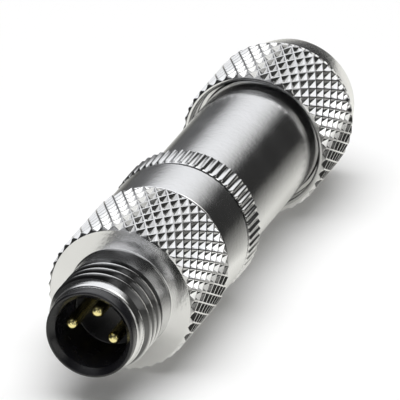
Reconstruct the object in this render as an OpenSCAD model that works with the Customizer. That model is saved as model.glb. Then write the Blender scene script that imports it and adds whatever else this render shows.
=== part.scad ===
// Circular sensor connector: a three-pin plug with an M8 coupling screw, a two-part metal
// housing and a knurled pressure nut that clamps the cable.
// The axis runs along Y, pins towards -Y and cable towards +Y. The origin lies on the axis
// in the front face of the coupling screw's flange.

/* [Coupling screw] */
// Major diameter of the coupling thread
thread_d = 8; // [7.4:0.1:12]
// Length of the threaded neck ahead of the flange
thread_len = 5.1; // [3:0.1:10]
// Depth of the thread, by which the pilot is smaller on the radius
thread_depth = 0.4; // [0.2:0.05:0.55]
// Length of the plain pilot at the front of the neck
pilot_len = 0.85; // [0.4:0.05:2]
// Chamfer at the front of the pilot and of the carrier's lip
front_edge = 0.12; // [0.05:0.01:0.3]
// Wall of the threaded neck, from thread crest to bore
neck_wall = 0.85; // [0.75:0.05:1.1]
// Thickness of the web behind the flange face
web_t = 1.6; // [1:0.1:3]
// Length of the knurled grip
grip_len = 8.4; // [7.8:0.1:16]
// Wall of the grip under the knurl
grip_wall = 0.85; // [0.7:0.05:2]

/* [Diamond knurl] */
// Hollows around each knurled grip
knurl_count = 40; // [24:1:50]
// Length of one hollow along the axis
knurl_pitch = 1.75; // [1.2:0.05:2.4]
// Depth of the hollows below the lands between them
knurl_depth = 0.3; // [0.15:0.05:0.5]
// Chamfer at the ends of each knurl
knurl_edge = 0.25; // [0.1:0.05:0.3]
// Distance of the first row of hollows behind the front chamfer
knurl_margin = 0.06; // [0.02:0.02:0.2]
// Clock angle by which the grip's knurl is turned
grip_clock = 3; // [0:0.5:15]
// Clock angle by which the nut's knurl is turned
nut_clock = 4.5; // [0:0.5:15]

/* [Contact carrier] */
// Length of the front lip ahead of the coupling screw
lip_len = 0.95; // [0.5:0.05:2]
// Overhang of the lip past the bore of the coupling screw
lip_overhang = 0.3; // [0.15:0.05:0.4]
// Wall of the collar around the contact pins
collar_wall = 0.3; // [0.2:0.05:0.4]
// Depth of the socket, from the rim to its floor
socket_depth = 5; // [3:0.1:6.5]
// Length of the lead-in chamfer at the mouth of the socket
lead_in = 0.45; // [0.2:0.05:0.8]
// Height of the shoulder behind the collar
shoulder = 0.55; // [0.4:0.05:1]
// Length of the terminal block behind the spigot
block_len = 6.4; // [5:0.1:8]
// Width of the key slot along the terminal block
key_w = 0.9; // [0.6:0.05:1.4]
// Depth of the key slot
key_depth = 0.35; // [0.2:0.05:0.5]

/* [Contacts] */
// Diameter of each contact pin
pin_d = 1; // [0.7:0.05:1.1]
// Diameter of the circle on which the pins stand
pin_circle_d = 3.36; // [3:0.02:3.5]
// Clock angle of the middle pin, from the top, seen from the front
pin_clock = 12.5; // [-45:0.5:45]
// Clock angle between neighbouring pins
pin_step = 90; // [85:1:100]
// Distance of the pin tips behind the rim
pin_setback = 0.5; // [0.2:0.05:1]
// Height of the press shoulder on each pin, inside the carrier
pin_shoulder = 0.2; // [0.16:0.02:0.3]
// Diameter of the terminal barrel behind each pin
terminal_d = 1.9; // [1.6:0.05:2]
// Diameter of the wire hole in each terminal
wire_d = 1.2; // [0.8:0.05:1.3]
// Depth of the wire hole
wire_depth = 5; // [4:0.1:6]
// Diameter of each terminal screw
screw_d = 1; // [0.6:0.05:1.1]
// Distance of the terminal screws from the rear of the carrier
screw_setback = 3.2; // [2:0.1:4]
// Depth of each screw's head below the outside of the carrier
screw_sink = 0.35; // [0.2:0.05:0.6]
// Width of the screwdriver slot
screw_slot = 0.22; // [0.1:0.02:0.4]

/* [Front housing] */
// Gap between the web of the coupling screw and the neck of the housing
neck_gap = 0.4; // [0.2:0.05:1]
// Wall of the neck that carries the coupling screw
bearing_wall = 0.9; // [0.8:0.05:1.5]
// Thickness of the inner step that stops the contact carrier
step_t = 0.8; // [0.5:0.05:1.5]
// Drop from the knurl's lands to the smooth sleeve
sleeve_drop = 0.24; // [0.05:0.01:0.4]
// Gap between the grip and the smooth sleeve
sleeve_gap = 0.15; // [0.1:0.05:0.5]
// Length of the smooth sleeve
sleeve_len = 4.75; // [3:0.05:12]
// Chamfer on the edges of the sleeve
sleeve_chamfer = 0.18; // [0.05:0.01:0.4]
// Wall of the threaded spigot at the rear
spigot_wall = 0.55; // [0.4:0.05:1]
// Length of the spigot
spigot_len = 4.3; // [3.5:0.1:6]

/* [Retaining ring] */
// Distance of the ring behind the front of the neck
ring_setback = 3.6; // [2:0.1:4.4]
// Width of the ring along the axis
ring_w = 0.7; // [0.4:0.05:1]
// Depth of the ring's groove in the neck
ring_seat = 0.45; // [0.3:0.05:0.5]
// Reach of the ring into the coupling screw
ring_bite = 0.3; // [0.15:0.05:0.4]
// Opening angle of the split in the ring
ring_split = 50; // [20:5:90]

/* [Seals] */
// Thickness of the seal around the carrier
carrier_seal_t = 0.7; // [0.5:0.05:0.8]
// Distance of the carrier's seal groove behind its shoulder
carrier_seal_setback = 1.4; // [0.8:0.1:3]
// Thickness of the seal between housing and barrel
housing_seal_t = 0.46; // [0.3:0.02:0.6]

/* [Barrel] */
// Gap between the smooth sleeve and the barrel's ring
seal_gap = 0.15; // [0.1:0.05:0.4]
// Wall of the barrel
barrel_wall = 0.54; // [0.45:0.02:1]
// Plain length of the barrel between ring and pressure nut
barrel_len = 14.75; // [12:0.25:30]
// Height of the ring over the barrel
band_h = 0.85; // [0.4:0.05:1.5]
// Length of the ring along the axis
band_len = 2.45; // [1.5:0.05:5]
// Teeth of the straight knurl on the ring
band_teeth = 60; // [40:1:80]
// Depth of the straight knurl
band_tooth_h = 0.18; // [0.1:0.02:0.3]
// Width of the grooves of the straight knurl
band_groove_w = 0.22; // [0.12:0.02:0.3]
// Bevel on the edges of the ring
band_bevel = 0.25; // [0.1:0.05:0.5]
// Height of the inner stop for the shield ring
stop_h = 0.7; // [0.4:0.05:1]
// Thickness of the inner stop
stop_t = 0.6; // [0.4:0.05:1.2]
// Room for the cable clamp, from the rear of the barrel to the stop
clamp_room = 6.6; // [5.5:0.1:8]

/* [Insulating sleeve] */
// Length of the snap bead around the sleeve
bead_w = 0.8; // [0.4:0.05:1.5]
// Height of the snap bead
bead_h = 0.23; // [0.15:0.01:0.28]
// Distance of the bead from the rear of the sleeve
bead_setback = 1.5; // [1:0.1:4]
// Length of the key inside the sleeve
key_len = 4; // [2:0.1:5]

/* [Pressure nut] */
// Wall of the nut under the knurl
nut_wall = 0.61; // [0.5:0.01:1.5]
// Length of the recessed mouth
mouth_len = 1.55; // [0.8:0.05:3]
// Depth of the recess in the mouth
mouth_step = 0.31; // [0.15:0.01:0.4]
// Chamfer around the mouth
mouth_chamfer = 0.2; // [0.1:0.01:0.3]
// Length of thread between nut and barrel
nut_thread_len = 4.4; // [3:0.1:8]
// Room behind the barrel inside the nut
nut_runout = 0.6; // [0.3:0.1:1.5]
// Length of the diamond knurl on the nut
nut_knurl_len = 6.9; // [6.6:0.1:14]
// Length of the smooth taper behind the knurl
taper_len = 3.2; // [2.4:0.1:8]
// Drop of the taper on the radius
taper_drop = 0.95; // [0.3:0.05:1.5]
// Step from the knurl's lands down to the taper
taper_step = 0.12; // [0.05:0.01:0.25]
// Rounding between the taper and the rear face
nut_round = 0.45; // [0.2:0.05:0.8]
// Diameter of the cable entry
entry_d = 5.5; // [4.6:0.1:6]
// Length of the cable entry
entry_len = 1.5; // [1:0.1:2.5]
// Chamfer around the cable entry
entry_chamfer = 0.25; // [0.1:0.05:0.5]

/* [Cable clamp] */
// Length of the shield ring
shield_len = 2; // [1.5:0.1:3]
// Bore of the shield ring at its narrow end
shield_d = 5.6; // [5:0.1:6]
// Thickness of the thrust washer
washer_t = 0.35; // [0.2:0.05:0.8]
// Wall of the clamping cage
cage_wall = 0.8; // [0.5:0.05:1.2]
// Length of the closed base of the cage
cage_base = 1.6; // [1:0.1:3]
// Slots between the fingers of the cage, in crossing pairs
cage_slot_pairs = 4; // [2:1:5]
// Width of each slot
cage_slot_w = 0.5; // [0.3:0.05:0.8]
// Thickness of the fingers at their tips
finger_t = 0.45; // [0.3:0.05:0.6]
// Bore of the cable seal
seal_bore_d = 4.6; // [4:0.1:5.2]
// Depth of the grooves inside the cable seal
seal_groove = 0.3; // [0.1:0.05:0.5]

/* [Clearances] */
// Radial clearance of turning and sliding pieces
run_gap = 0.05; // [0.03:0.01:0.1]
// Radial clearance of pieces that stay seated
seat_gap = 0.03; // [0.01:0.01:0.05]
// Axial play of moving pieces
play = 0.1; // [0.05:0.05:0.3]
// Clearance beside the key
key_gap = 0.15; // [0.1:0.05:0.25]
// Clearance of the fingers from the cone of the nut
cone_gap = 0.35; // [0.3:0.05:0.5]

/* [Hidden] */
$fn = 96;
cut = 1;

// Radii, from the thread outwards and inwards
thread_r = thread_d / 2;
pilot_r = thread_r - thread_depth;
neck_bore_r = thread_r - neck_wall;
collar_r = neck_bore_r - run_gap;
socket_r = collar_r - collar_wall;
lip_r = neck_bore_r + lip_overhang;
body_r = collar_r + shoulder;
housing_bore_r = body_r + seat_gap;
bearing_r = housing_bore_r + bearing_wall;
grip_bore_r = bearing_r + run_gap;
grip_root_r = grip_bore_r + grip_wall;
grip_r = grip_root_r + knurl_depth;
sleeve_r = grip_r - sleeve_drop;
spigot_r = housing_bore_r + spigot_wall;
barrel_bore_r = spigot_r + run_gap;
barrel_r = barrel_bore_r + barrel_wall;
band_r = barrel_r + band_h;
nut_bore_r = barrel_r + run_gap;
mouth_r = nut_bore_r + mouth_step;
nut_root_r = nut_bore_r + nut_wall;
nut_r = nut_root_r + knurl_depth;
taper_r = nut_r - taper_step;
entry_r = entry_d / 2;

// Places along the axis, from the flange face
thread_y0 = -thread_len;
pilot_y0 = thread_y0 - pilot_len;
lip_y1 = pilot_y0 - play;
rim_y = lip_y1 - lip_len;
socket_y = rim_y + socket_depth;
neck_y0 = web_t + neck_gap;
body_y0 = neck_y0 + step_t;
ring_y0 = neck_y0 + ring_setback;
ring_y1 = ring_y0 + ring_w;
sleeve_y0 = grip_len + sleeve_gap;
sleeve_y1 = sleeve_y0 + sleeve_len;
spigot_y1 = sleeve_y1 + spigot_len;
block_y1 = spigot_y1 + block_len;
band_y0 = sleeve_y1 + seal_gap;
band_y1 = band_y0 + band_len;
nut_y0 = band_y1 + barrel_len;
nut_thread_y0 = nut_y0 + mouth_len;
barrel_y1 = nut_thread_y0 + nut_thread_len;
stop_y1 = barrel_y1 - clamp_room;
stop_y0 = stop_y1 - stop_t;
knurl_y1 = nut_y0 + nut_knurl_len;
taper_y1 = knurl_y1 + taper_len;
nut_y1 = taper_y1 + nut_round;
cone_y0 = barrel_y1 + nut_runout;
cone_y1 = nut_y1 - entry_len;

// Seals and the retaining ring
carrier_seal_y = body_y0 + carrier_seal_setback;
carrier_groove_r = body_r - carrier_seal_t;
carrier_groove_half = carrier_seal_t / 2 + play;
housing_seal_y = sleeve_y1 + seat_gap + housing_seal_t / 2;
housing_seal_r = spigot_r + seat_gap + housing_seal_t / 2;
seal_pocket_r = housing_seal_r + housing_seal_t / 2 + run_gap;
seal_pocket_y = housing_seal_y + housing_seal_t / 2 + play;
ring_groove_r = bearing_r - ring_seat;
ring_r0 = ring_groove_r + seat_gap;
ring_r1 = grip_bore_r + ring_bite;
ring_room_r = ring_r1 + 2 * run_gap;

// Contacts and terminals
pin_r = pin_d / 2;
pin_circle_r = pin_circle_d / 2;
pin_tip_y = rim_y + pin_setback;
pin_press_r = pin_r + pin_shoulder;
terminal_r = terminal_d / 2;
terminal_y0 = body_y0;
terminal_y1 = block_y1 - play;
screw_y = block_y1 - screw_setback;
screw_r = screw_d / 2;
screw_end_r = body_r - screw_sink;
clocks = [pin_clock - pin_step, pin_clock, pin_clock + pin_step];
key_clock = pin_clock + 180;
key_floor_r = body_r - key_depth;

// Insulating sleeve inside the barrel
liner_r1 = barrel_bore_r - run_gap;
liner_r0 = body_r + 2 * run_gap;
liner_y0 = spigot_y1 + neck_gap;
liner_y1 = stop_y0 - play;
bead_r = liner_r1 + bead_h;
bead_y1 = liner_y1 - bead_setback;
bead_y0 = bead_y1 - bead_w;

// Cable clamp inside the nut
shield_y1 = stop_y1 + shield_len;
washer_y0 = shield_y1 + play;
washer_y1 = washer_y0 + washer_t;
cage_r = barrel_bore_r - 2 * run_gap;
cage_bore_r = cage_r - cage_wall;
cage_bend_y = cone_y0 - play;
cone_r0 = nut_bore_r - cone_gap - 2 * run_gap;
cone_r1 = entry_r + entry_chamfer;
cone_slope = (cone_r0 - cone_r1) / (cone_y1 - cone_y0);
cage_y1 = cone_y1 - 2 * cone_gap;
cage_tip_r = cone_r1 + cone_slope * (cone_y1 - cage_y1) - cone_gap;
cage_lip_y = cage_bend_y + play;
seal_bore_r = seal_bore_d / 2;

// Colours of the pieces
nickel = "#c9c6bd";
black_plastic = "#1d1e22";
gold = "#d9b65c";
steel = "#8d9094";
rubber = "#2b2b2d";
grey_plastic = "#5d6066";

// Stands children made along +Z on the connector's axis, +Z turning into +Y
module on_axis() {
  rotate([-90, 0, 0]) children();
}

// Turns children by a clock angle from the top, seen from the front, with +X pointing outwards
module at_clock(clock) {
  on_axis() rotate([0, 0, clock - 90]) children();
}

// Solid of revolution about the axis from points [radius, y]
module turned(profile) {
  on_axis() rotate_extrude() polygon(profile);
}

// Ring of round section about the axis
module o_ring(centre_r, y, thickness) {
  on_axis() translate([0, 0, y]) rotate_extrude() translate([centre_r, 0]) circle(d = thickness);
}

// One ring of knurl points: bottoms of hollows and crossings of lands take turns around it
function knurl_ring(row, z, land_r) = [
  for (column = [0 : 2 * knurl_count - 1])
    let (
      r = (row + column) % 2 == 0 ? land_r - knurl_depth : land_r,
      turn = column * 180 / knurl_count
    )
      [r * cos(turn), r * sin(turn), z]
];

// Two triangles of one cell between neighbouring rings, split along the land between hollows
function cell(row, column, columns) =
  let (
    next = (column + 1) % columns,
    a = row * columns + column,
    b = (row + 1) * columns + column,
    c = (row + 1) * columns + next,
    d = row * columns + next
  )
  (row + column) % 2 == 0 ? [[a, b, d], [b, c, d]] : [[a, b, c], [a, c, d]];

// Closed solid through a stack of rings that have the same number of points
module stacked(rings) {
  columns = len(rings[0]);
  last = len(rings) - 1;
  front = [for (column = [0 : columns - 1]) column];
  rear = [for (column = [columns - 1 : -1 : 0]) last * columns + column];
  cells = [
    for (row = [0 : last - 1]) for (column = [0 : columns - 1])
      each cell(row, column, columns)
  ];
  polyhedron([for (ring = rings) each ring], concat([front, rear], cells));
}

// Bar with a diamond knurl of pyramid-shaped hollows, whose rows run on past z = 0 and z = length
module knurled_bar(length, land_r) {
  step = knurl_pitch / 2;
  first = knurl_edge + knurl_margin;
  last = floor((length - first) / step) + 2;
  stacked([for (row = [0 : last]) knurl_ring(row, first + (row - 1) * step, land_r)]);
}

// Ring of the straight knurl: flat teeth between grooves that narrow inwards, none past the limit
function band_ring(z, limit) =
  let (
    tooth = 360 / band_teeth,
    half_groove = band_groove_w / 2 / band_r * 180 / PI,
    half_floor = half_groove / 2,
    root = band_r - band_tooth_h
  )
  [
    for (i = [0 : band_teeth - 1])
      each [
        for (corner = [
          [root, half_floor], [band_r, half_groove],
          [band_r, tooth - half_groove], [root, tooth - half_floor]
        ])
          let (turn = i * tooth + corner[1], r = min(corner[0], limit))
            [r * cos(turn), r * sin(turn), z]
      ]
  ];

// Ring with a straight knurl and bevelled edges, from z = 0 to the ring's length
module knurled_band() {
  edge_r = band_r - band_bevel;
  stacked([
    band_ring(0, edge_r), band_ring(band_bevel, band_r),
    band_ring(band_len - band_bevel, band_r), band_ring(band_len, edge_r)
  ]);
}

// Nickel-plated coupling screw: threaded neck, flange and knurled grip turned in one piece
module coupling_screw() {
  color(nickel) difference() {
    union() {
      intersection() {
        on_axis() rotate([0, 0, grip_clock]) knurled_bar(grip_len, grip_r);
        turned([
          [0, 0], [grip_r - knurl_edge, 0], [grip_r + cut, knurl_edge + cut],
          [grip_r + cut, grip_len - knurl_edge - cut], [grip_r - knurl_edge, grip_len], [0, grip_len]
        ]);
      }
      turned([
        [0, pilot_y0], [pilot_r - front_edge, pilot_y0], [pilot_r, pilot_y0 + front_edge],
        [pilot_r, thread_y0], [thread_r, thread_y0 + thread_depth], [thread_r, web_t], [0, web_t]
      ]);
    }
    turned([
      [0, pilot_y0 - cut], [neck_bore_r, pilot_y0 - cut], [neck_bore_r, web_t],
      [grip_bore_r, web_t], [grip_bore_r, ring_y0 - play], [ring_room_r, ring_y0 - play],
      [ring_room_r, ring_y1 + play], [grip_bore_r, ring_y1 + play],
      [grip_bore_r, grip_len + cut], [0, grip_len + cut]
    ]);
  }
}

// Split ring that holds the coupling screw on the neck of the housing
module retaining_ring() {
  color(steel) difference() {
    turned([[ring_r0, ring_y0], [ring_r1, ring_y0], [ring_r1, ring_y1], [ring_r0, ring_y1]]);
    at_clock(key_clock) translate([0, 0, ring_y0 - cut]) linear_extrude(ring_w + 2 * cut) polygon([
      [0, 0],
      2 * ring_r1 * [cos(ring_split / 2), -sin(ring_split / 2)],
      2 * ring_r1 * [cos(ring_split / 2), sin(ring_split / 2)]
    ]);
  }
}

// Black moulded carrier: collar and socket in front, terminal block behind
module contact_carrier() {
  color(black_plastic) difference() {
    turned([
      [0, rim_y], [lip_r - front_edge, rim_y], [lip_r, rim_y + front_edge], [lip_r, lip_y1],
      [collar_r, lip_y1], [collar_r, body_y0], [body_r, body_y0],
      [body_r, carrier_seal_y - carrier_groove_half],
      [carrier_groove_r, carrier_seal_y - carrier_groove_half],
      [carrier_groove_r, carrier_seal_y + carrier_groove_half],
      [body_r, carrier_seal_y + carrier_groove_half], [body_r, block_y1], [0, block_y1]
    ]);
    turned([
      [0, rim_y - cut], [socket_r + lead_in, rim_y - cut], [socket_r + lead_in, rim_y],
      [socket_r, rim_y + lead_in], [socket_r, socket_y], [0, socket_y]
    ]);
    for (clock = clocks) {
      at_clock(clock) translate([pin_circle_r, 0, socket_y - cut])
        cylinder(r = pin_press_r + seat_gap, h = terminal_y0 - socket_y + 2 * cut);
      at_clock(clock) translate([pin_circle_r, 0, terminal_y0 - seat_gap])
        cylinder(r = terminal_r + seat_gap, h = block_y1 - terminal_y0 + cut);
      at_clock(clock) translate([pin_circle_r, 0, screw_y]) rotate([0, 90, 0])
        cylinder(r = screw_r + seat_gap, h = body_r);
    }
    at_clock(key_clock) translate([key_floor_r, -key_w / 2, spigot_y1])
      cube([key_depth + cut, key_w, block_len + cut]);
  }
}

// Gold-plated contact: pin in front, terminal barrel with wire hole and screw hole behind
module contact_pin(clock) {
  color(gold) at_clock(clock) translate([pin_circle_r, 0, 0]) difference() {
    union() {
      translate([0, 0, pin_tip_y + pin_r]) sphere(r = pin_r);
      translate([0, 0, pin_tip_y + pin_r]) cylinder(r = pin_r, h = terminal_y0 - pin_tip_y);
      translate([0, 0, socket_y]) cylinder(r = pin_press_r, h = terminal_y0 - socket_y + play);
      translate([0, 0, terminal_y0]) cylinder(r = terminal_r, h = terminal_y1 - terminal_y0);
    }
    translate([0, 0, terminal_y1 - wire_depth]) cylinder(d = wire_d, h = wire_depth + cut);
    translate([0, 0, screw_y]) rotate([0, 90, 0]) cylinder(r = screw_r + seat_gap, h = terminal_d);
  }
}

module contact_pin_1() {
  contact_pin(clocks[0]);
}

module contact_pin_4() {
  contact_pin(clocks[1]);
}

module contact_pin_3() {
  contact_pin(clocks[2]);
}

// Three slotted screws that clamp the wires in the terminals
module terminal_screws() {
  screw_tip_r = pin_circle_r + wire_d / 4;
  color(steel) for (clock = clocks)
    at_clock(clock) translate([0, 0, screw_y]) difference() {
      translate([screw_tip_r, 0, 0]) rotate([0, 90, 0])
        cylinder(r = screw_r, h = screw_end_r - screw_tip_r);
      translate([screw_end_r - screw_slot, -screw_d, -screw_slot / 2])
        cube([screw_slot + cut, 2 * screw_d, screw_slot]);
    }
}

// Rubber ring between the carrier and the housing
module carrier_seal() {
  color(rubber) o_ring(body_r - carrier_seal_t / 2 + seat_gap / 2, carrier_seal_y, carrier_seal_t);
}

// Nickel-plated front housing: bearing neck, smooth sleeve and threaded spigot
module front_housing() {
  color(nickel) difference() {
    turned([
      [0, neck_y0], [bearing_r - sleeve_chamfer, neck_y0], [bearing_r, neck_y0 + sleeve_chamfer],
      [bearing_r, ring_y0], [ring_groove_r, ring_y0], [ring_groove_r, ring_y1],
      [bearing_r, ring_y1], [bearing_r, sleeve_y0], [sleeve_r - sleeve_chamfer, sleeve_y0],
      [sleeve_r, sleeve_y0 + sleeve_chamfer], [sleeve_r, sleeve_y1 - sleeve_chamfer],
      [sleeve_r - sleeve_chamfer, sleeve_y1], [spigot_r, sleeve_y1],
      [spigot_r, spigot_y1 - sleeve_chamfer], [spigot_r - sleeve_chamfer, spigot_y1],
      [0, spigot_y1]
    ]);
    turned([
      [0, neck_y0 - cut], [collar_r + seat_gap, neck_y0 - cut], [collar_r + seat_gap, body_y0],
      [housing_bore_r, body_y0], [housing_bore_r, spigot_y1 + cut], [0, spigot_y1 + cut]
    ]);
  }
}

// Rubber ring between the front housing and the barrel
module housing_seal() {
  color(rubber) o_ring(housing_seal_r, housing_seal_y, housing_seal_t);
}

// Nickel-plated barrel with the straight-knurled ring that it is screwed on by
module barrel_sleeve() {
  color(nickel) difference() {
    union() {
      on_axis() translate([0, 0, band_y0]) knurled_band();
      turned([
        [0, band_y1 - band_len / 2], [barrel_r, band_y1 - band_len / 2],
        [barrel_r, barrel_y1 - sleeve_chamfer], [barrel_r - sleeve_chamfer, barrel_y1],
        [0, barrel_y1]
      ]);
    }
    turned([
      [0, band_y0 - cut], [seal_pocket_r, band_y0 - cut], [seal_pocket_r, seal_pocket_y],
      [barrel_bore_r, seal_pocket_y], [barrel_bore_r, bead_y0 - play],
      [bead_r + run_gap, bead_y0 - play], [bead_r + run_gap, bead_y1 + play],
      [barrel_bore_r, bead_y1 + play], [barrel_bore_r, stop_y0],
      [barrel_bore_r - stop_h, stop_y0], [barrel_bore_r - stop_h, stop_y1],
      [barrel_bore_r, stop_y1], [barrel_bore_r, barrel_y1 + cut], [0, barrel_y1 + cut]
    ]);
  }
}

// Plastic sleeve that insulates the terminals, snapped into the barrel and keyed to the carrier
module insulating_sleeve() {
  color(grey_plastic) union() {
    turned([
      [liner_r0, liner_y0], [liner_r1, liner_y0], [liner_r1, bead_y0], [bead_r, bead_y0],
      [bead_r, bead_y1], [liner_r1, bead_y1], [liner_r1, liner_y1], [liner_r0, liner_y1]
    ]);
    at_clock(key_clock) translate([key_floor_r + key_gap, key_gap - key_w / 2, liner_y0])
      cube([liner_r1 - key_floor_r - 2 * key_gap, key_w - 2 * key_gap, key_len]);
  }
}

// Metal ring on which the cable's shield is pressed
module shield_ring() {
  color(nickel) turned([
    [barrel_bore_r - stop_h, stop_y1], [barrel_bore_r - seat_gap, stop_y1],
    [barrel_bore_r - seat_gap, shield_y1], [shield_d / 2, shield_y1],
    [shield_d / 2, shield_y1 - shield_len / 4]
  ]);
}

// Washer between the shield ring and the clamping cage
module thrust_washer() {
  color(steel) turned([
    [shield_d / 2, washer_y0], [cage_r, washer_y0], [cage_r, washer_y1], [shield_d / 2, washer_y1]
  ]);
}

// Rubber seal that closes around the cable, with two grooves inside
module cable_seal() {
  seal_r = cage_bore_r - seat_gap;
  seal_y1 = cage_lip_y - seat_gap;
  land = (seal_y1 - washer_y1) / 5;
  color(rubber) turned([
    [seal_bore_r, washer_y1], [seal_r, washer_y1], [seal_r, seal_y1], [seal_bore_r, seal_y1],
    [seal_bore_r, washer_y1 + 4 * land], [seal_bore_r + seal_groove, washer_y1 + 4 * land],
    [seal_bore_r + seal_groove, washer_y1 + 3 * land], [seal_bore_r, washer_y1 + 3 * land],
    [seal_bore_r, washer_y1 + 2 * land], [seal_bore_r + seal_groove, washer_y1 + 2 * land],
    [seal_bore_r + seal_groove, washer_y1 + land], [seal_bore_r, washer_y1 + land]
  ]);
}

// Plastic cage with slotted fingers that the cone of the nut closes on the cable
module clamping_cage() {
  slots_y0 = washer_y1 + cage_base;
  color(grey_plastic) difference() {
    turned([
      [cage_bore_r, washer_y1], [cage_r, washer_y1], [cage_r, cage_bend_y],
      [cage_tip_r, cage_y1], [cage_tip_r - finger_t, cage_y1],
      [cage_tip_r - finger_t, cage_lip_y], [cage_bore_r, cage_lip_y]
    ]);
    for (i = [0 : cage_slot_pairs - 1])
      at_clock(i * 180 / cage_slot_pairs) translate([-cage_r - cut, -cage_slot_w / 2, slots_y0])
        cube([2 * (cage_r + cut), cage_slot_w, cage_y1 - slots_y0 + cut]);
  }
}

// Nickel-plated pressure nut: recessed mouth, diamond knurl, smooth taper and cable entry
module pressure_nut() {
  end_r = taper_r - taper_drop;
  round_arc = [
    for (turn = [0 : 15 : 90])
      [end_r - nut_round + nut_round * cos(turn), taper_y1 + nut_round * sin(turn)]
  ];
  color(nickel) difference() {
    intersection() {
      on_axis() translate([0, 0, nut_y0]) rotate([0, 0, nut_clock]) knurled_bar(nut_y1 - nut_y0, nut_r);
      turned(concat(
        [
          [0, nut_y0], [nut_r - knurl_edge, nut_y0], [nut_r + cut, nut_y0 + knurl_edge + cut],
          [nut_r + cut, knurl_y1 - taper_step - cut], [taper_r, knurl_y1]
        ],
        round_arc, [[0, nut_y1]]
      ));
    }
    turned([
      [0, nut_y0 - cut], [mouth_r + mouth_chamfer, nut_y0 - cut],
      [mouth_r + mouth_chamfer, nut_y0], [mouth_r, nut_y0 + mouth_chamfer],
      [mouth_r, nut_thread_y0], [nut_bore_r, nut_thread_y0], [nut_bore_r, cone_y0],
      [cone_r0, cone_y0], [cone_r1, cone_y1], [entry_r, cone_y1],
      [entry_r, nut_y1 - entry_chamfer], [entry_r + entry_chamfer, nut_y1],
      [entry_r + entry_chamfer, nut_y1 + cut], [0, nut_y1 + cut]
    ]);
  }
}

contact_carrier();
contact_pin_1();
contact_pin_4();
contact_pin_3();
terminal_screws();
coupling_screw();
retaining_ring();
carrier_seal();
front_housing();
housing_seal();
barrel_sleeve();
insulating_sleeve();
shield_ring();
thrust_washer();
cable_seal();
clamping_cage();
pressure_nut();
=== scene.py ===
"""Circular sensor connector: an M8 plug of nickel-plated brass, seen obliquely from its pins."""

import bpy
import numpy as np
from mathutils import Matrix, Vector


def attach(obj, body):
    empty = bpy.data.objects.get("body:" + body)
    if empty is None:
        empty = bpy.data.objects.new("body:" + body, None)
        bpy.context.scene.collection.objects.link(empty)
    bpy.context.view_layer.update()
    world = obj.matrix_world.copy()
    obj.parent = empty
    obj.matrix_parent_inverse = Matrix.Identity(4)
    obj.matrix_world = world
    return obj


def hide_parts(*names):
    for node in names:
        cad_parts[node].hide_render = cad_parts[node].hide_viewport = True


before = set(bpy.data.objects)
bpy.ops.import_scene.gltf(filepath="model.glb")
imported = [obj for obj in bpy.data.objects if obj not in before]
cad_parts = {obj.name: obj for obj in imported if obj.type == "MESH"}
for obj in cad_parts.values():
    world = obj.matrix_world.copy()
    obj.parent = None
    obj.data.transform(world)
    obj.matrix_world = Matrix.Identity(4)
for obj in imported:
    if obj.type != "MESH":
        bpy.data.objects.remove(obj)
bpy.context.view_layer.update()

# Contact pins: turned brass, plated with gold, with rounded tips. They are pressed into the carrier
# from behind, where each widens into a terminal with a hole for the wire and one for its screw.
# Lengths are written in mm, and MM turns them into metres.
MM = 0.001


def surface_marks():
    """Node group: Height is a noise of (x, z) times Across with (y + radius) times Marks along y, so that
    it follows the turning. Patch is a slow noise of the object's coordinates times Blotches."""
    marks_detail, patch_detail = 3.0, 4.0
    group = bpy.data.node_groups.new("surface_marks", "ShaderNodeTree")
    for socket in ("Marks", "Across", "Blotches"):
        group.interface.new_socket(socket, in_out="INPUT", socket_type="NodeSocketFloat")
    for socket in ("Height", "Patch"):
        group.interface.new_socket(socket, in_out="OUTPUT", socket_type="NodeSocketFloat")
    node, link = group.nodes.new, group.links.new
    given, result = node("NodeGroupInput"), node("NodeGroupOutput")
    where, parts = node("ShaderNodeTexCoord"), node("ShaderNodeSeparateXYZ")
    link(where.outputs["Object"], parts.inputs[0])
    flat, radius = node("ShaderNodeCombineXYZ"), node("ShaderNodeVectorMath")
    radius.operation = "LENGTH"
    link(parts.outputs["X"], flat.inputs["X"])
    link(parts.outputs["Z"], flat.inputs["Z"])
    link(flat.outputs[0], radius.inputs[0])
    along, fine = node("ShaderNodeMath"), node("ShaderNodeMath")
    link(parts.outputs["Y"], along.inputs[0])
    link(radius.outputs["Value"], along.inputs[1])
    fine.operation = "MULTIPLY"
    link(along.outputs[0], fine.inputs[0])
    link(given.outputs["Marks"], fine.inputs[1])
    spread, marks_at = node("ShaderNodeVectorMath"), node("ShaderNodeVectorMath")
    spread.operation = "SCALE"
    link(flat.outputs[0], spread.inputs[0])
    link(given.outputs["Across"], spread.inputs["Scale"])
    lengthwise = node("ShaderNodeCombineXYZ")
    link(fine.outputs[0], lengthwise.inputs["Y"])
    link(spread.outputs[0], marks_at.inputs[0])
    link(lengthwise.outputs[0], marks_at.inputs[1])
    marks, patch = node("ShaderNodeTexNoise"), node("ShaderNodeTexNoise")
    marks.inputs["Scale"].default_value = 1.0
    marks.inputs["Detail"].default_value = marks_detail
    link(marks_at.outputs[0], marks.inputs["Vector"])
    patch.inputs["Detail"].default_value = patch_detail
    link(where.outputs["Object"], patch.inputs["Vector"])
    link(given.outputs["Blotches"], patch.inputs["Scale"])
    link(marks.outputs["Fac"], result.inputs["Height"])
    link(patch.outputs["Fac"], result.inputs["Patch"])
    return group


MARKS = surface_marks()


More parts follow.
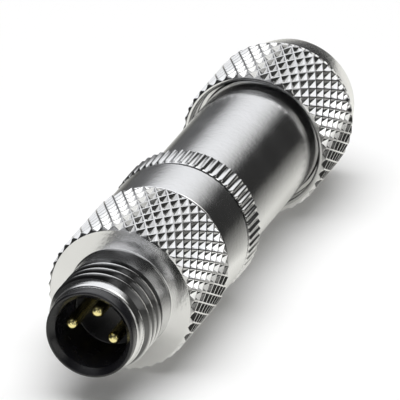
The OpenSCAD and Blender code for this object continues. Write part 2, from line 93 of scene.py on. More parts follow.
def finish(name, colours, roughness, marks, depth, metallic=0.0):
    """Material: two close colours and two roughnesses, mixed by the blotches between a low and a high value
    of them, under marks of a depth in mm. The marks are counts in a metre: Marks, Across and Blotches."""
    patch_low, patch_high = 0.3, 0.7
    material = bpy.data.materials.new(name)
    material.use_nodes = True
    node, link = material.node_tree.nodes.new, material.node_tree.links.new
    shader = material.node_tree.nodes["Principled BSDF"]
    shader.inputs["Metallic"].default_value = metallic
    group = node("ShaderNodeGroup")
    group.node_tree = MARKS
    for socket, value in zip(("Marks", "Across", "Blotches"), marks):
        group.inputs[socket].default_value = value
    ramp = node("ShaderNodeValToRGB")
    for stop, place_on_ramp, colour in zip(ramp.color_ramp.elements, (patch_low, patch_high), colours):
        stop.position = place_on_ramp
        stop.color = (*colour, 1)
    link(group.outputs["Patch"], ramp.inputs["Fac"])
    link(ramp.outputs["Color"], shader.inputs["Base Color"])
    gloss = node("ShaderNodeMapRange")
    gloss.inputs["From Min"].default_value = patch_low
    gloss.inputs["From Max"].default_value = patch_high
    gloss.inputs["To Min"].default_value, gloss.inputs["To Max"].default_value = roughness
    link(group.outputs["Patch"], gloss.inputs["Value"])
    link(gloss.outputs["Result"], shader.inputs["Roughness"])
    bump = node("ShaderNodeBump")
    bump.inputs["Strength"].default_value = 1.0
    bump.inputs["Distance"].default_value = depth * MM
    link(group.outputs["Height"], bump.inputs["Height"])
    link(bump.outputs["Normal"], shader.inputs["Normal"])
    return material


def paint(node, material):
    """Gives a kept CAD node its material."""
    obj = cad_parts[node]
    obj.data.materials.clear()
    obj.data.materials.append(material)


gold = finish(
    "gold_plate",
    colours=[(0.88, 0.77, 0.34), (0.93, 0.84, 0.42)],
    roughness=(0.16, 0.26),
    marks=(9000, 9000, 1200),
    depth=0.0006,
    metallic=1.0,
)
for pin in ("contact_pin_1", "contact_pin_4", "contact_pin_3"):
    paint(pin, gold)

# Terminal screws and retaining ring: plain bright steel. The screws clamp the wires in the terminals;
# the split ring sits in a groove of the housing and holds the coupling screw so that it can turn.
steel = finish(
    "bright_steel",
    colours=[(0.5, 0.5, 0.52), (0.56, 0.56, 0.58)],
    roughness=(0.22, 0.36),
    marks=(22000, 1500, 900),
    depth=0.001,
    metallic=1.0,
)
paint("terminal_screws", steel)
paint("retaining_ring", steel)

# Contact carrier: one black moulding of filled plastic. Its socket guards the pins, its lip stands in
# front of the coupling screw, and pockets from the rear take the terminals and their screws.
black_plastic = finish(
    "black_plastic",
    colours=[(0.006, 0.006, 0.008), (0.011, 0.011, 0.013)],
    roughness=(0.2, 0.3),
    marks=(9000, 9000, 900),
    depth=0.0012,
)


def rounded(corners, cut):
    """Open outline of [radius, y] corners in mm. Each inner corner gives way to the quadratic curve that
    leaves its two sides at the cut's length from it: (1-t)^2 start + 2t(1-t) corner + t^2 end."""
    steps = 5
    corners = np.asarray(corners, float)
    corner = corners[1:-1]
    cut = np.broadcast_to(cut, len(corner))[:, None]
    back, ahead = corners[:-2] - corner, corners[2:] - corner
    start = corner + cut * back / np.linalg.norm(back, axis=1, keepdims=True)
    end = corner + cut * ahead / np.linalg.norm(ahead, axis=1, keepdims=True)
    t = np.linspace(0, 1, steps)[:, None]
    curve = (1 - t) ** 2 * start[:, None] + 2 * t * (1 - t) * corner[:, None] + t**2 * end[:, None]
    return np.concatenate([corners[:1], curve.reshape(-1, 2), corners[-1:]])


crease = np.radians(28)
weld_decimals = 5


def turned(name, outline, turn):
    """Closed surface around the Y axis from rows of [radius, y] in mm, given once or for every column. At
    the clock angle a = 2 pi turn, x = r sin a and z = r cos a. The last row joins the first, points that
    coincide become one, and faces that this leaves without an area go."""
    rows = np.broadcast_to(outline.reshape(len(outline), -1, 2), (len(outline), len(turn), 2))
    r, y = rows[..., 0], rows[..., 1]
    angle = 2 * np.pi * turn
    points = np.stack([r * np.sin(angle), y, r * np.cos(angle)], -1).reshape(-1, 3)
    index = np.arange(r.size).reshape(r.shape)
    a, b = index[:, :-1], index[:, 1:]
    c, d = np.roll(b, -1, 0), np.roll(a, -1, 0)
    faces = np.concatenate([np.stack([a, b, c], -1), np.stack([a, c, d], -1)]).reshape(-1, 3)
    points, welded = np.unique(np.round(points, weld_decimals) + 0.0, axis=0, return_inverse=True)
    faces = welded.reshape(-1)[faces]
    faces = faces[(faces != np.roll(faces, 1, 1)).all(1)]
    mesh = bpy.data.meshes.new(name)
    mesh.from_pydata(points * MM, [], faces)
    mesh.shade_smooth()
    mesh.set_sharp_from_angle(angle=crease)
    obj = bpy.data.objects.new(name, mesh)
    bpy.context.collection.objects.link(obj)
    return obj


def cutter(name, outline, columns, transform):
    """Cutter turned from an outline and then moved. Its columns are given by the first and the last part
    of a turn and by their number."""
    obj = turned(name, np.array(outline, float), np.linspace(*columns))
    obj.data.transform(transform)
    return obj


def at_clock(clock, radius):
    """Transform that moves a cutter from the axis up to a radius in mm, then turns it to a clock angle."""
    return Matrix.Rotation(np.radians(clock), 4, "Y") @ Matrix.Translation((0, 0, radius * MM))


def cut_out(piece, cutters):
    """Takes the cutters' volumes out of a piece, and then the cutters out of the scene."""
    for tool in cutters:
        hole = piece.modifiers.new(tool.name, "BOOLEAN")
        hole.operation, hole.solver, hole.object = "DIFFERENCE", "EXACT", tool
    graph = bpy.context.evaluated_depsgraph_get()
    mesh = bpy.data.meshes.new_from_object(piece.evaluated_get(graph))
    piece.modifiers.clear()
    piece.data = mesh
    mesh.set_sharp_from_angle(angle=crease)
    for tool in cutters:
        bpy.data.objects.remove(tool)


def place(obj, material, body, slot, *nodes):
    """Gives a piece its material, its body and the CAD nodes it stands for; its slot is not used. Large
    faces lead the shading, so that cylinders and cones stay true beside their small edges."""
    shading = obj.modifiers.new("even_shading", "WEIGHTED_NORMAL")
    shading.keep_sharp = True
    obj.data.materials.clear()
    obj.data.materials.append(material)
    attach(obj, body)
    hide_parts(*nodes)


rim_y, lead_in_y, lip_rear_y, socket_floor_y = -7.0, -6.55, -6.05, -2.1
block_y, seal_front_y, seal_rear_y, block_rear_y = 2.8, 3.75, 4.65, 24.0
lip_r, rim_bore_r, collar_r, socket_r, block_r, seal_seat_r = 3.45, 3.25, 3.1, 2.8, 3.65, 2.95
floor_edge, lead_in_edge, rim_bore_edge, rim_edge = 0.12, 0.1, 0.08, 0.15
inner_edge, seat_edge, block_edge = 0.05, 0.04, 0.1
smooth_columns = 193
even_turn = np.linspace(0, 1, smooth_columns)
carrier = turned(
    "carrier_moulding",
    rounded(
        [
            [0, socket_floor_y], [socket_r, socket_floor_y], [socket_r, lead_in_y], [rim_bore_r, rim_y],
            [lip_r, rim_y], [lip_r, lip_rear_y], [collar_r, lip_rear_y], [collar_r, block_y],
            [block_r, block_y], [block_r, seal_front_y], [seal_seat_r, seal_front_y],
            [seal_seat_r, seal_rear_y], [block_r, seal_rear_y], [block_r, block_rear_y], [0, block_rear_y],
        ],
        [floor_edge, lead_in_edge, rim_bore_edge, rim_edge]
        + 4 * [inner_edge] + 4 * [seat_edge] + [block_edge],
    ),
    even_turn,
)
pin_clocks, pin_circle_r, pin_hole_r = (-77.5, 12.5, 102.5), 1.68, 0.52
shoulder_hole_r, pocket_r, screw_hole_r = 0.73, 0.98, 0.53
cut_front_y, shoulder_y, pocket_y, screw_y, cut_rear_y = -3, -2.03, 2.77, 20.8, 25
key_clock, key_r, key_corner_r, key_y = 192.5, 3.75, 0.64, 17.6
pocket_columns, screw_columns, key_columns = (0, 1, 49), (0, 1, 33), (0.125, 1.125, 5)
pocket = [
    [0, cut_front_y], [pin_hole_r, cut_front_y], [pin_hole_r, shoulder_y], [shoulder_hole_r, shoulder_y],
    [shoulder_hole_r, pocket_y], [pocket_r, pocket_y], [pocket_r, cut_rear_y], [0, cut_rear_y],
]
screw_hole = [[0, 0], [screw_hole_r, 0], [screw_hole_r, block_r], [0, block_r]]
key_slot = [[0, key_y], [key_corner_r, key_y], [key_corner_r, cut_rear_y], [0, cut_rear_y]]
facing_out = Matrix.Translation((0, screw_y * MM, 0)) @ Matrix.Rotation(np.radians(90), 4, "X")
carrier_cuts = []
for clock in pin_clocks:
    at_pin = at_clock(clock, pin_circle_r)
    carrier_cuts.append(cutter("pocket", pocket, pocket_columns, at_pin))
    carrier_cuts.append(cutter("screw_hole", screw_hole, screw_columns, at_pin @ facing_out))
carrier_cuts.append(cutter("key_slot", key_slot, key_columns, at_clock(key_clock, key_r)))
cut_out(carrier, carrier_cuts)
place(carrier, black_plastic, "housing", "black_plastic", "contact_carrier")

# Seals: black rubber rings, moulded with a matt skin. One lies between carrier and housing, the other
# between housing and barrel.
rubber = finish(
    "rubber",
    colours=[(0.018, 0.018, 0.019), (0.03, 0.03, 0.031)],
    roughness=(0.55, 0.75),
    marks=(6000, 6000, 1500),
    depth=0.003,
)
paint("carrier_seal", rubber)
paint("housing_seal", rubber)

# Front housing: turned brass, plated with nickel. Its neck carries the coupling screw, its smooth
# sleeve shows between the knurls, and its threaded spigot takes the barrel.
nickel = finish(
    "nickel_plate",
    colours=[(0.7, 0.7, 0.7), (0.75, 0.75, 0.755)],
    roughness=(0.14, 0.2),
    marks=(2800, 2800, 500),
    depth=0.007,
    metallic=1.0,
)


def threaded(turn, crest_r, low, high, first, pitch, depth):
    """Rows of [radius, y] of a right-hand V thread between two places. A crest passes y = first at turn 0
    and climbs one pitch a turn. Counted in pitches from the crest, the flank would start at 1/16 and ends
    at 6/16. With s the share of the flank passed, a hyperbola s + sqrt(s^2 + rounding^2), shifted and
    scaled to run from 0 to 1, gives the depth and so rounds the crest. Each row climbs with one place of
    the profile."""
    flank, root, rounding = 1 / 16, 6 / 16, 0.25
    falling = np.array([0, 0.04, 0.08, 0.12, 0.17, 0.25, root])
    places = np.concatenate([falling, 1 - falling[:0:-1]])
    crests_before, crests_after = 2, 1
    first_count = np.floor((low - first) / pitch) - crests_before
    count = np.arange(first_count, np.ceil((high - first) / pitch) + crests_after)
    y = np.clip(first + pitch * ((count[:, None] + places).reshape(-1, 1) + turn), low, high)
    away = (y - first) / pitch - turn
    away = np.minimum(np.abs(away - np.round(away)), root)
    passed = (np.stack([away, 0 * y, root + 0 * y]) - flank) / (root - flank)
    fall, top, bottom = passed + np.sqrt(passed**2 + rounding**2)
    return np.stack([crest_r - depth * (fall - top) / (bottom - top), y], -1)


def joined(turn, *parts):
    """Parts of an outline in a row, each repeated for every column unless it has them already."""
    rows = [part.reshape(len(part), -1, 2) for part in parts]
    return np.concatenate([np.broadcast_to(row, (len(row), len(turn), 2)) for row in rows])


fine_pitch, fine_depth = 0.75, 0.3
sleeve_r, bearing_r, ring_seat_r, spigot_r, housing_bore_r, step_r = 5.54, 4.58, 4.13, 4.23, 3.68, 3.13
neck_y, step_join_y, ring_front_y, ring_rear_y = 2.0, 2.4, 5.6, 6.3
sleeve_y, sleeve_rear_y, spigot_thread_y, spigot_crest_y = 8.55, 13.3, 13.75, 13.9
spigot_thread_end_y, spigot_rear_y = 17.3, 17.6
groove_edge, bore_edge, outer_edge = 0.03, 0.08, 0.16
housing_neck = rounded(
    [
        [step_r, step_join_y], [step_r, neck_y], [bearing_r, neck_y], [bearing_r, ring_front_y],
        [ring_seat_r, ring_front_y], [ring_seat_r, ring_rear_y], [bearing_r, ring_rear_y],
        [bearing_r, sleeve_y], [sleeve_r, sleeve_y], [sleeve_r, sleeve_rear_y],
        [spigot_r, sleeve_rear_y], [spigot_r, spigot_thread_y],
    ],
    [inner_edge, outer_edge] + 4 * [groove_edge] + [inner_edge, outer_edge, outer_edge, inner_edge],
)
housing_bore = rounded(
    [
        [spigot_r, spigot_thread_end_y], [spigot_r, spigot_rear_y], [housing_bore_r, spigot_rear_y],
        [housing_bore_r, block_y], [step_r, block_y], [step_r, step_join_y],
    ],
    [outer_edge, bore_edge, inner_edge, inner_edge],
)
spigot_thread = threaded(
    even_turn, spigot_r, spigot_thread_y, spigot_thread_end_y, spigot_crest_y, fine_pitch, fine_depth
)
housing = turned("housing_turning", joined(even_turn, housing_neck, spigot_thread, housing_bore), even_turn)
place(housing, nickel, "housing", "nickel", "front_housing")

# Coupling screw: one turning of nickel-plated brass with an M8 thread, a flange and a diamond knurl
# pressed into its grip. It turns freely on the housing's neck and draws the plug into its socket.
knurl_count, knurl_pitch, knurl_depth, land_half = 40, 1.75, 0.36, 0.06


def knurl_turn(clock):
    """Columns of a knurl as parts of a turn, from the clock angle of one hollow on: through the middles of
    the hollows and of the lands' crossings, and half a land's width to each side of these."""
    places = np.array([0, land_half, 0.5 - land_half, 0.5, 0.5 + land_half, 1 - land_half])
    around = (np.arange(knurl_count)[:, None] + places).ravel()
    return clock / 360 + np.append(around, knurl_count) / knurl_count


def knurled(turn, first, limit):
    """Rows of [radius, y] of a diamond knurl. With u and v the hollows counted around and along from the
    one at the first column and first place, a = u + v and b = u - v count the two families of lands, and m
    is the larger distance of a and b from a whole number: radius = land - depth (1 - m / (1/2 - land half)),
    at most the land and at most the limit. Rows follow the lands' edges, the hollows and the limit."""
    u = (turn - turn[0]) * knurl_count
    low, high = limit[0, 1], limit[-1, 1]
    hollows_before, hollows_after = 2, 3
    first_count = np.floor((low - first) / knurl_pitch) - hollows_before
    whole = np.arange(first_count, np.ceil((high - first) / knurl_pitch) + hollows_after)[:, None]
    edges = [whole + 0.5 + side * land_half + way * (u % 1) for side in (-1, 1) for way in (-1, 1)]
    lines = np.concatenate(edges + [whole + 0 * u, whole + 0.5 + 0 * u])
    y = np.concatenate([np.clip(first + knurl_pitch * lines, low, high), limit[:, 1:] + 0 * u])
    y = np.sort(y, axis=0)
    v = (y - first) / knurl_pitch
    a, b = u + v, u - v
    m = np.maximum(np.abs(a - np.round(a)), np.abs(b - np.round(b)))
    r = limit[:, 0].max() - knurl_depth * np.clip(1 - m / (0.5 - land_half), 0, 1)
    return np.stack([np.minimum(r, np.interp(y, limit[:, 1], limit[:, 0])), y], -1)


def painted_groove_shade(material, name, low, high, crest_r, root_r, groove_shade):
    """Copy of a metal with painted shade in the grooves of a thread between two places in mm. Between them
    the colour goes over to near black by the given share times (crest - radius) / (crest - root)."""
    groove_shade_colour = (0.03, 0.03, 0.03, 1)
    copy = material.copy()
    copy.name = name
    tree = copy.node_tree
    node, link = tree.nodes.new, tree.links.new
    where, parts = node("ShaderNodeTexCoord"), node("ShaderNodeSeparateXYZ")
    flat, radius = node("ShaderNodeCombineXYZ"), node("ShaderNodeVectorMath")
    radius.operation = "LENGTH"
    link(where.outputs["Object"], parts.inputs[0])
    link(parts.outputs["X"], flat.inputs["X"])
    link(parts.outputs["Z"], flat.inputs["Z"])
    link(flat.outputs[0], radius.inputs[0])
    sunk = node("ShaderNodeMapRange")
    sunk.inputs["From Min"].default_value = crest_r * MM
    sunk.inputs["From Max"].default_value = root_r * MM
    sunk.inputs["To Max"].default_value = groove_shade
    link(radius.outputs["Value"], sunk.inputs["Value"])
    behind, ahead, within, share = [node("ShaderNodeMath") for _ in range(4)]
    behind.operation, ahead.operation = "GREATER_THAN", "LESS_THAN"
    within.operation = share.operation = "MULTIPLY"
    behind.inputs[1].default_value = low * MM
    ahead.inputs[1].default_value = high * MM
    link(parts.outputs["Y"], behind.inputs[0])
    link(parts.outputs["Y"], ahead.inputs[0])
    link(behind.outputs[0], within.inputs[0])
    link(ahead.outputs[0], within.inputs[1])
    link(within.outputs[0], share.inputs[0])
    link(sunk.outputs["Result"], share.inputs[1])
    mixed = node("ShaderNodeMix")
    mixed.data_type = "RGBA"
    metal, shade_socket = [socket for socket in mixed.inputs if socket.type == "RGBA"]
    blend = [socket for socket in mixed.outputs if socket.type == "RGBA"][0]
    shade_socket.default_value = groove_shade_colour
    link(share.outputs[0], mixed.inputs["Factor"])
    link(tree.nodes["Color Ramp"].outputs["Color"], metal)
    link(blend, tree.nodes["Principled BSDF"].inputs["Base Color"])
    return copy


thread_r, thread_pitch, thread_depth, thread_crest_y = 4.0, 1.0, 0.58, -4.52
pilot_r, neck_bore_r, grip_r, grip_bore_r, ring_room_r = 3.6, 3.15, 5.78, 4.63, 5.03
pilot_y, thread_y, bore_join_y, collar_y, flange_y = -5.95, -5.1, -3, -1.9, 0
web_y, ring_room_y, ring_room_rear_y, grip_end_y = 1.6, 5.5, 6.4, 8.4
eased_edge, nose_round, flange_round, knurl_edge, edge_steps = 0.06, 0.3, 0.12, 0.25, 6
grip_clock, knurl_start = 7.5, 0.31
grip_turn = knurl_turn(grip_clock)
edge_r = grip_r - knurl_edge
screw_nose = rounded(
    [[neck_bore_r, bore_join_y], [neck_bore_r, pilot_y], [pilot_r, pilot_y], [pilot_r, thread_y]],
    [eased_edge, nose_round],
)
screw_thread = threaded(
    grip_turn, thread_r, thread_y, collar_y, thread_crest_y, thread_pitch, thread_depth
)
chamfer_end_y = thread_y + thread_r - pilot_r
chamfer = np.interp(screw_thread[..., 1], [thread_y, chamfer_end_y], [pilot_r, thread_r])
screw_thread[..., 0] = np.minimum(screw_thread[..., 0], chamfer)
screw_flange = rounded([[thread_r, collar_y], [thread_r, flange_y], [edge_r, flange_y]], flange_round)
grip_limit = np.concatenate(
    [
        np.linspace([edge_r, flange_y], [grip_r, flange_y + knurl_edge], edge_steps),
        np.linspace([grip_r, grip_end_y - knurl_edge], [edge_r, grip_end_y], edge_steps),
    ]
)
screw_grip = knurled(grip_turn, flange_y + knurl_start, grip_limit)
screw_bore = rounded(
    [
        [edge_r, grip_end_y], [grip_bore_r, grip_end_y], [grip_bore_r, ring_room_rear_y],
        [ring_room_r, ring_room_rear_y], [ring_room_r, ring_room_y], [grip_bore_r, ring_room_y],
        [grip_bore_r, web_y], [neck_bore_r, web_y], [neck_bore_r, bore_join_y],
    ],
    [bore_edge] + 4 * [groove_edge] + 2 * [inner_edge],
)
screw_outline = joined(grip_turn, screw_nose, screw_thread, screw_flange, screw_grip, screw_bore[1:])
screw = turned("coupling_turning", screw_outline, grip_turn)
# Painted shade in the thread's grooves: towards the roots, the nickel's colour darkens to near black.
groove_shade_y, groove_shade_start_r, groove_shade_end_r, groove_shade = -4.8, 3.98, 3.82, 0.85
groove_shaded_nickel = painted_groove_shade(
    nickel, "nickel_plate_painted_groove_shade", groove_shade_y, collar_y, groove_shade_start_r, groove_shade_end_r, groove_shade
)
place(screw, groove_shaded_nickel, "coupling", "nickel", "coupling_screw")

# Barrel: a drawn and turned brass tube, plated with nickel. It is screwed on the spigot by the ring
# with the straight knurl, and the thread at its rear takes the pressure nut.
band_teeth, tooth_steps, tooth_depth, band_bevel = 60, 10, 0.13, 0.16
barrel_r, barrel_bore_r, band_r, seal_room_r, stop_r, bead_r = 4.82, 4.28, 5.67, 4.77, 3.58, 4.51
band_y, seal_room_y, band_rear_y, bore_middle_y = 13.45, 14.0, 15.9, 20
bead_y, bead_rear_y, stop_y, stop_rear_y = 26.9, 27.9, 29.4, 30.0
barrel_thread_y, barrel_crest_y, barrel_thread_end_y, barrel_rear_y = 32.3, 32.5, 36.35, 36.6
tube_round, barrel_rear_edge = 0.1, 0.14
band_turn = np.linspace(0, 1, band_teeth * tooth_steps + 1)
# The teeth are a cosine around the ring, cut down to a bevel at its two ends.
tooth_r = band_r - tooth_depth * (1 - np.cos(2 * np.pi * band_teeth * band_turn)) / 2
band_edge_r = band_r - band_bevel
band_rows_r = np.array([band_edge_r, band_r, band_r, band_edge_r])[:, None]
band_rows_y = np.array([band_y, band_y + band_bevel, band_rear_y - band_bevel, band_rear_y])[:, None]
barrel_band = np.stack(np.broadcast_arrays(np.minimum(tooth_r, band_rows_r), band_rows_y), -1)
barrel_front = rounded(
    [
        [barrel_bore_r, bore_middle_y], [barrel_bore_r, seal_room_y], [seal_room_r, seal_room_y],
        [seal_room_r, band_y], [band_edge_r, band_y],
    ],
    [groove_edge, groove_edge, inner_edge],
)
barrel_tube = rounded(
    [[band_edge_r, band_rear_y], [barrel_r, band_rear_y], [barrel_r, barrel_thread_y]], tube_round
)
barrel_thread = threaded(
    band_turn, barrel_r, barrel_thread_y, barrel_thread_end_y, barrel_crest_y, fine_pitch, fine_depth
)
barrel_bore = rounded(
    [
        [barrel_r, barrel_thread_end_y], [barrel_r, barrel_rear_y], [barrel_bore_r, barrel_rear_y],
        [barrel_bore_r, stop_rear_y], [stop_r, stop_rear_y], [stop_r, stop_y], [barrel_bore_r, stop_y],
        [barrel_bore_r, bead_rear_y], [bead_r, bead_rear_y], [bead_r, bead_y], [barrel_bore_r, bead_y],
        [barrel_bore_r, bore_middle_y],
    ],
    [barrel_rear_edge, bore_edge, groove_edge, inner_edge, inner_edge] + 5 * [groove_edge],
)
barrel_outline = joined(
    band_turn, barrel_front[:-1], barrel_band, barrel_tube[1:], barrel_thread, barrel_bore
)
barrel = turned("barrel_tube", barrel_outline, band_turn)
place(barrel, nickel, "barrel", "nickel", "barrel_sleeve")

# Insulating sleeve: a grey plastic moulding inside the barrel, which keeps the terminals off the metal.
# A bead around it snaps into a groove of the barrel's bore.
grey_plastic = finish(
    "grey_plastic",
    colours=[(0.1, 0.105, 0.115), (0.135, 0.14, 0.15)],
    roughness=(0.42, 0.58),
    marks=(7000, 7000, 900),
    depth=0.002,
)
paint("insulating_sleeve", grey_plastic)

# Shield ring and thrust washer: a turned, nickel-plated ring and a stamped steel one. The cable's shield
# is pressed between the ring's cone and the washer.
paint("shield_ring", nickel)
paint("thrust_washer", steel)

# Cable seal and clamping cage: a grooved rubber bush inside a moulded cage, whose slotted fingers the
# nut's cone bends onto the cable.
paint("cable_seal", rubber)
paint("clamping_cage", grey_plastic)

# Pressure nut: turned brass, plated with nickel, with the same diamond knurl and a smooth tapered end.
# It is screwed on the barrel, and the cable comes out of the hole in its rear face.
nut_r, nut_bore_r, mouth_r, mouth_edge_r = 5.78, 4.87, 5.18, 5.38
taper_r, taper_end_r, rear_face_r, entry_r, entry_edge = 5.66, 4.71, 4.3, 2.75, 0.25
cone_r, cone_end_r = 4.42, 3.0
nut_y, mouth_edge_y, mouth_join_y, mouth_rear_y, nut_thread_y = 30.65, 30.85, 31.5, 32.2, 32.5
nut_thread_end_y, cone_y, cone_end_y = 36.9, 37.2, 39.7
taper_y, hollows_end_y, taper_end_y, taper_corner_y, nut_rear_y = 37.55, 38.25, 40.75, 40.9, 41.2
nut_thread_depth, taper_round, rear_round = 0.25, 0.28, 0.2
nut_clock, step_rows, taper_rows = 0.0, 3, 15
nut_turn = knurl_turn(nut_clock)
nut_edge_r = nut_r - knurl_edge
hollows_end_r = np.interp(hollows_end_y, [taper_y, taper_end_y], [taper_r, taper_end_r])
nut_mouth = rounded(
    [[mouth_r, mouth_join_y], [mouth_r, mouth_edge_y], [mouth_edge_r, nut_y], [nut_edge_r, nut_y]],
    [eased_edge, seat_edge],
)
nut_limit = np.concatenate(
    [
        np.linspace([nut_edge_r, nut_y], [nut_r, nut_y + knurl_edge], edge_steps),
        np.linspace([nut_r, taper_y - nut_r + taper_r], [taper_r, taper_y], step_rows),
        np.linspace([taper_r, taper_y], [hollows_end_r, hollows_end_y], taper_rows),
    ]
)
nut_grip = knurled(nut_turn, nut_y + knurl_start, nut_limit)
nut_tail = rounded(
    [
        [hollows_end_r, hollows_end_y], [taper_end_r, taper_corner_y], [rear_face_r, nut_rear_y],
        [entry_r + entry_edge, nut_rear_y], [entry_r, nut_rear_y - entry_edge], [entry_r, cone_end_y],
        [cone_end_r, cone_end_y], [cone_r, cone_y], [nut_bore_r, cone_y], [nut_bore_r, nut_thread_end_y],
    ],
    [taper_round, rear_round, eased_edge, eased_edge] + 4 * [inner_edge],
)
nut_thread = threaded(
    nut_turn, nut_bore_r, nut_thread_y, nut_thread_end_y, nut_thread_y, fine_pitch, -nut_thread_depth
)[::-1]
nut_step = rounded(
    [
        [nut_bore_r, nut_thread_y], [nut_bore_r, mouth_rear_y],
        [mouth_r, mouth_rear_y], [mouth_r, mouth_join_y],
    ],
    inner_edge,
)
nut_outline = joined(nut_turn, nut_mouth[:-1], nut_grip, nut_tail[1:], nut_thread, nut_step)
nut = turned("nut_turning", nut_outline, nut_turn)
place(nut, nickel, "nut", "nickel", "pressure_nut")

# Table: a white sheet under the plug. Where the metal mirrors it, a pool of light is painted on it along the
# plug, darkening to the sides, and a share of it glows, so that the plug's shadow shows more weakly.
floor_z, floor_half, floor_middle_y = -5.785, 110, 17
table_white, table_glow = (0.97, 0.97, 0.97, 1), 0.05
pool_front_y, pool_rear_y, pool_front_half, pool_rear_half, pool_left = 14, 24, 13, 9.5, 3
pool_fall, pool_tint, unshaded_share = 1.45, (0.97, 0.965, 0.915), 0.4


def stage_sheet(name, points, faces, material):
    """Sheet of the studio, which is not part of the plug."""
    mesh = bpy.data.meshes.new(name)
    mesh.from_pydata(points, [], faces)
    mesh.materials.append(material)
    obj = bpy.data.objects.new(name, mesh)
    bpy.context.collection.objects.link(obj)
    return obj


def empty_material(name):
    """Material without a shader, with its ways to make and link nodes."""
    material = bpy.data.materials.new(name)
    material.use_nodes = True
    tree = material.node_tree
    tree.nodes.remove(tree.nodes["Principled BSDF"])
    return material, tree.nodes.new, tree.links.new, tree.nodes["Material Output"].inputs["Surface"]


def seen(node, link):
    """Sum of the camera, glossy and transmission rays, which see the white background as it is."""
    path, some, all_rays = node("ShaderNodeLightPath"), node("ShaderNodeMath"), node("ShaderNodeMath")
    all_rays.use_clamp = True
    link(path.outputs["Is Camera Ray"], some.inputs[0])
    link(path.outputs["Is Glossy Ray"], some.inputs[1])
    link(some.outputs[0], all_rays.inputs[0])
    link(path.outputs["Is Transmission Ray"], all_rays.inputs[1])
    return all_rays.outputs[0]


def mixed_shaders(node, link, factor, first, second):
    """Mix of two shaders by a socket or a plain share."""
    mix = node("ShaderNodeMixShader")
    if isinstance(factor, float):
        mix.inputs[0].default_value = factor
    else:
        link(factor, mix.inputs[0])
    link(first.outputs[0], mix.inputs[1])
    link(second.outputs[0], mix.inputs[2])
    return mix


def painted_light_pool(node, link):
    """Table as the metal mirrors it, a painted pool of light: a tint times (half width / distance
    aside)^fall, at most
    1, where the half width narrows from the front to the rear. A share of it glows and so takes no shadow."""
    where, parts = node("ShaderNodeTexCoord"), node("ShaderNodeSeparateXYZ")
    link(where.outputs["Object"], parts.inputs[0])
    half_width = node("ShaderNodeMapRange")
    half_width.inputs["From Min"].default_value = pool_front_y * MM
    half_width.inputs["From Max"].default_value = pool_rear_y * MM
    half_width.inputs["To Min"].default_value = pool_front_half * MM
    half_width.inputs["To Max"].default_value = pool_rear_half * MM
    link(parts.outputs["Y"], half_width.inputs["Value"])
    centred, aside, ratio, fall = [node("ShaderNodeMath") for _ in range(4)]
    aside.operation, ratio.operation, fall.operation = "ABSOLUTE", "DIVIDE", "POWER"
    centred.inputs[1].default_value = pool_left * MM
    fall.inputs[1].default_value = pool_fall
    fall.use_clamp = True
    link(parts.outputs["X"], centred.inputs[0])
    link(centred.outputs[0], aside.inputs[0])
    link(half_width.outputs["Result"], ratio.inputs[0])
    link(aside.outputs[0], ratio.inputs[1])
    link(ratio.outputs[0], fall.inputs[0])
    tint = node("ShaderNodeVectorMath")
    tint.operation = "SCALE"
    tint.inputs[0].default_value = pool_tint
    link(fall.outputs[0], tint.inputs["Scale"])
    in_shade, unshaded = node("ShaderNodeBsdfDiffuse"), node("ShaderNodeEmission")
    link(tint.outputs[0], in_shade.inputs["Color"])
    link(tint.outputs[0], unshaded.inputs["Color"])
    return mixed_shaders(node, link, unshaded_share, in_shade, unshaded)


white_table, node, link, surface = empty_material("white_table")
matt, glow = node("ShaderNodeBsdfDiffuse"), node("ShaderNodeEmission")
matt.inputs["Color"].default_value = table_white
glow_share = node("ShaderNodeMath")
glow_share.operation = "MULTIPLY"
glow_share.inputs[1].default_value = table_glow
link(seen(node, link), glow_share.inputs[0])
plain_table = mixed_shaders(node, link, glow_share.outputs[0], matt, glow)
glossy_ray = node("ShaderNodeLightPath").outputs["Is Glossy Ray"]
# Glossy rays see the table with its painted pool of light.
table = mixed_shaders(node, link, glossy_ray, plain_table, painted_light_pool(node, link))
link(table.outputs[0], surface)
floor_corners = np.array([(-1, -1), (1, -1), (1, 1), (-1, 1)]) * floor_half + [0, floor_middle_y]
floor_points = np.column_stack([floor_corners, np.full(len(floor_corners), floor_z)]) * MM
stage_sheet("floor", floor_points, [(0, 1, 2, 3)], white_table)

# Tent: dark cloth around the table, seen only where the plug mirrors it. One large light stands high
# behind the plug, and smaller ones around it give the metal its separate highlights.
tent_r, tent_low, tent_rows, tent_columns, tent_base = 600, -60, 41, 73, 0.035
cool_white, warm_white = (0.97, 0.98, 1, 1), (1, 0.99, 0.93, 1)
# Each light has an azimuth, an elevation, the angles where it starts and ends to fade, and a radiance.
tent_lights = {
    "large_high_behind": (-18.3, 62.2, 29, 51.5, 1.2),
    "haze_behind_left": (-40, 5, 8, 40, 0.1),
    "front_left": (-168, 3, 13, 20, 1.0),
    "front_high": (174, 27, 3, 9, 0.6),
    "high_behind_right": (48, 52, 12, 24, 0.85),
    "high_front_left": (-150, 58, 10, 26, 0.3),
    "front_right": (152, 15, 6, 14, 0.5),
    "front_right_low": (150, -3, 7, 13, 0.9),
    "right_low": (120, -2, 5, 11, 1.0),
    "right_middle": (121, 14, 5, 11, 1.0),
    "right_high": (122, 30, 5, 11, 1.0),
}


def toward(azimuth, elevation):
    """Unit vector at an azimuth from +Y towards +X and an elevation, in degrees."""
    a, e = np.radians([azimuth, elevation])
    return np.array([np.sin(a) * np.cos(e), np.cos(a) * np.cos(e), np.sin(e)])


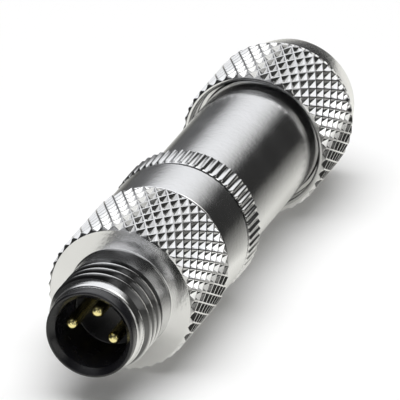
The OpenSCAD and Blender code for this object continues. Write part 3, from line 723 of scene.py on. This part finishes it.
tent_cloth, node, link, surface = empty_material("tent_cloth")
where, direction = node("ShaderNodeTexCoord"), node("ShaderNodeVectorMath")
light = node("ShaderNodeEmission")
direction.operation = "NORMALIZE"
link(where.outputs["Object"], direction.inputs[0])
total = node("ShaderNodeValue").outputs[0]
total.default_value = tent_base
for azimuth, elevation, near, far, radiance in tent_lights.values():
    cosine, step, add = node("ShaderNodeVectorMath"), node("ShaderNodeMapRange"), node("ShaderNodeMath")
    cosine.operation = "DOT_PRODUCT"
    cosine.inputs[1].default_value = toward(azimuth, elevation)
    step.interpolation_type = "SMOOTHSTEP"
    step.inputs["From Min"].default_value = np.cos(np.radians(far))
    step.inputs["From Max"].default_value = np.cos(np.radians(near))
    step.inputs["To Max"].default_value = radiance
    link(direction.outputs["Vector"], cosine.inputs[0])
    link(cosine.outputs["Value"], step.inputs["Value"])
    link(step.outputs["Result"], add.inputs[0])
    link(total, add.inputs[1])
    total = add.outputs[0]
sides, shades = node("ShaderNodeSeparateXYZ"), node("ShaderNodeValToRGB")
for stop, colour in zip(shades.color_ramp.elements, (cool_white, warm_white)):
    stop.color = colour
link(direction.outputs["Vector"], sides.inputs[0])
link(sides.outputs["X"], shades.inputs["Fac"])
link(shades.outputs["Color"], light.inputs["Color"])
link(total, light.inputs["Strength"])
link(light.outputs[0], surface)
tent_rise, tent_turn = np.meshgrid(
    np.linspace(tent_low, 90, tent_rows), np.linspace(0, 360, tent_columns), indexing="ij"
)
tent_points = np.moveaxis(toward(tent_turn, tent_rise), 0, -1).reshape(-1, 3) * tent_r * MM
tent_index = np.arange(tent_turn.size).reshape(tent_turn.shape)
tent_faces = np.stack(
    [tent_index[:-1, :-1], tent_index[1:, :-1], tent_index[1:, 1:], tent_index[:-1, 1:]], -1
).reshape(-1, 4)
tent = stage_sheet("tent", tent_points, tent_faces, tent_cloth)
tent.visible_camera = tent.visible_diffuse = tent.visible_shadow = False

# Key and world: a soft round lamp straight above, which makes the shadow on the table, and a dim even
# sky. Where the world itself is seen or mirrored, it is plain white.
key_size, key_height, key_radiance, sky_strength = 620, 500, 3.4, 0.12
white = (1, 1, 1, 1)
key_lamp = bpy.data.lights.new("key", "AREA")
key_lamp.shape = "DISK"
key_lamp.size = key_size * MM
key_area = np.pi * (key_size * MM / 2) ** 2
key_lamp.energy = key_radiance * np.pi * key_area
key = bpy.data.objects.new("key", key_lamp)
bpy.context.collection.objects.link(key)
key.location = key_height * MM * Vector(toward(0, 90))
key.rotation_mode = "QUATERNION"
key.rotation_quaternion = (-key.location).to_track_quat("-Z", "Y")
key.visible_camera = key.visible_glossy = False
world = bpy.data.worlds.new("studio")
bpy.context.scene.world = world
world.use_nodes = True
node, link = world.node_tree.nodes.new, world.node_tree.links.new
sky, background = world.node_tree.nodes["Background"], node("ShaderNodeBackground")
sky.inputs["Color"].default_value = background.inputs["Color"].default_value = white
sky.inputs["Strength"].default_value = sky_strength
background.inputs["Strength"].default_value = 1.0
choice = mixed_shaders(node, link, seen(node, link), sky, background)
link(choice.outputs[0], world.node_tree.nodes["World Output"].inputs["Surface"])

# Camera: a long lens, as far off as the photo's nearly parallel edges ask for. It looks at a point beside
# and above the middle of the flange, so that the plug lies in the frame as in the photo.
camera_azimuth, camera_elevation, distance = 160.58, 23.99, 1104
aim_right, aim_up, half_view, sensor, clip_near, clip_far = 5.958, 7.381, 14.935, 36, 10, 10000
back = Vector(toward(camera_azimuth, camera_elevation))
right = Vector(toward(camera_azimuth - 90, 0))
up = back.cross(right)
target = aim_right * MM * right + aim_up * MM * up
lens = bpy.data.cameras.new("camera")
lens.sensor_width = sensor
lens.lens = sensor / 2 * distance / half_view
lens.clip_start, lens.clip_end = clip_near * MM, clip_far * MM
camera = bpy.data.objects.new("camera", lens)
bpy.context.collection.objects.link(camera)
camera.location = back * (distance * MM)
camera.rotation_mode = "QUATERNION"
camera.rotation_quaternion = (target - camera.location).to_track_quat("-Z", "Y")
bpy.context.scene.camera = camera
bpy.context.scene.view_settings.view_transform = "Standard"
